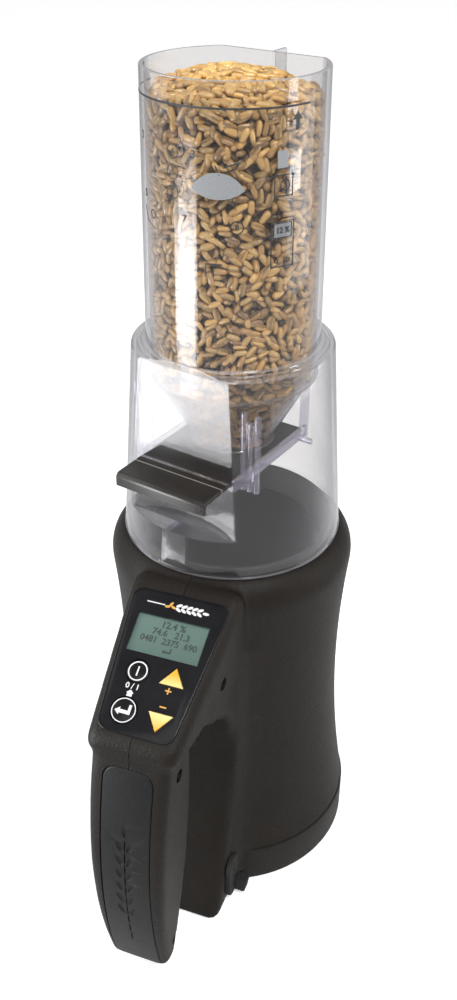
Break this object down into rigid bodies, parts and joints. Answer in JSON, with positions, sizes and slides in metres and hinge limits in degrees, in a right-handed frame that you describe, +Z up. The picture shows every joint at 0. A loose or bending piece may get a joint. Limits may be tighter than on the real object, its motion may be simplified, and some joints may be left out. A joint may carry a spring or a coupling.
{
  "type": "grain moisture meter",
  "caption": "Hand-held grain moisture meter: a dark waisted body with display handle and test cell, under a clear sample loader with a sliding gate.",
  "frame": {"origin": "on the axis of the round body, at the plane its feet stand on", "axes": "+Z up along the body and loader axis, -Y towards the handle and display"},
  "size_m": [0.122, 0.1913, 0.3853],
  "materials": {
    "housing_black": "fine moulded texture",
    "door_black": "fine moulded texture",
    "inner_black": "satin",
    "rubber_black": "matt",
    "cup_metal": "dark anodised",
    "bare_metal": "machined",
    "screw_steel": "zinc plated",
    "ivory_plastic": "satin",
    "board_green": "solder mask",
    "chip_black": "moulded",
    "lcd_green": "grey-green display",
    "lens_clear": "clear window",
    "panel_gloss": "glossy film",
    "key_black": "glossy film",
    "key_amber": "printed glossy film",
    "clear_plastic": "clear moulded plastic",
    "gate_black": "satin",
    "cell_wrap": "shrink sleeve",
    "contact_gold": "plated",
    "ribbon_grey": "flat cable"
  },
  "bodies": {
    "meter_body": {"housing_left": "housing_black", "housing_right": "housing_black", "base_cap": "housing_black", "base_feet": "rubber_black", "cell_ring": "inner_black", "test_cell": "cup_metal", "cell_electrode": "cup_metal", "cell_insulator": "ivory_plastic", "temperature_probe": "screw_steel", "cell_seal": "rubber_black", "cell_platform": "bare_metal", "load_cell": "bare_metal", "load_cell_bracket": "bare_metal", "load_cell_screws": "screw_steel", "main_board": "board_green", "main_board_parts": "chip_black", "display_board": "board_green", "lcd_module": "lcd_green", "lcd_lens": "lens_clear", "keypad_overlay": "panel_gloss", "key_switches": "chip_black", "ribbon_cable": "ribbon_grey", "buzzer": "chip_black", "battery_tray": "inner_black", "batteries": "cell_wrap", "battery_contacts": "contact_gold", "housing_screws": "screw_steel", "base_screws": "screw_steel", "board_screws": "screw_steel", "data_port": "screw_steel"},
    "power_key": {"key_power": "key_black"},
    "enter_key": {"key_enter": "key_black"},
    "up_key": {"key_up": "key_amber"},
    "down_key": {"key_down": "key_amber"},
    "battery_cover": {"battery_door": "door_black"},
    "plug": {"port_plug": "rubber_black"},
    "loader": {"loader_shell": "clear_plastic", "funnel": "clear_plastic", "gate_guides": "clear_plastic"},
    "gate": {"gate_slide": "gate_black"}
  },
  "joints": [
    {"name": "loader_lift", "type": "slide", "parent": "meter_body", "child": "loader", "axis": [0, 0, 1], "range_m": [0, 0.045]},
    {"name": "gate_pull", "type": "slide", "parent": "loader", "child": "gate", "axis": [-0.225, -0.9744, 0], "range_m": [0, 0.041]},
    {"name": "power_press", "type": "slide", "parent": "meter_body", "child": "power_key", "axis": [0, 0.5, -0.866], "range_m": [0, 0.0008], "stiffness_N_per_m": 700},
    {"name": "enter_press", "type": "slide", "parent": "meter_body", "child": "enter_key", "axis": [0, 0.5, -0.866], "range_m": [0, 0.0008], "stiffness_N_per_m": 700},
    {"name": "up_press", "type": "slide", "parent": "meter_body", "child": "up_key", "axis": [0, 0.5, -0.866], "range_m": [0, 0.0008], "stiffness_N_per_m": 700},
    {"name": "down_press", "type": "slide", "parent": "meter_body", "child": "down_key", "axis": [0, 0.5, -0.866], "range_m": [0, 0.0008], "stiffness_N_per_m": 700},
    {"name": "battery_door_off", "type": "slide", "parent": "meter_body", "child": "battery_cover", "axis": [0, -1, 0], "range_m": [0, 0.03]},
    {"name": "port_plug_pull", "type": "slide", "parent": "meter_body", "child": "plug", "axis": [1, 0, 0], "range_m": [0, 0.014]}
  ]
}
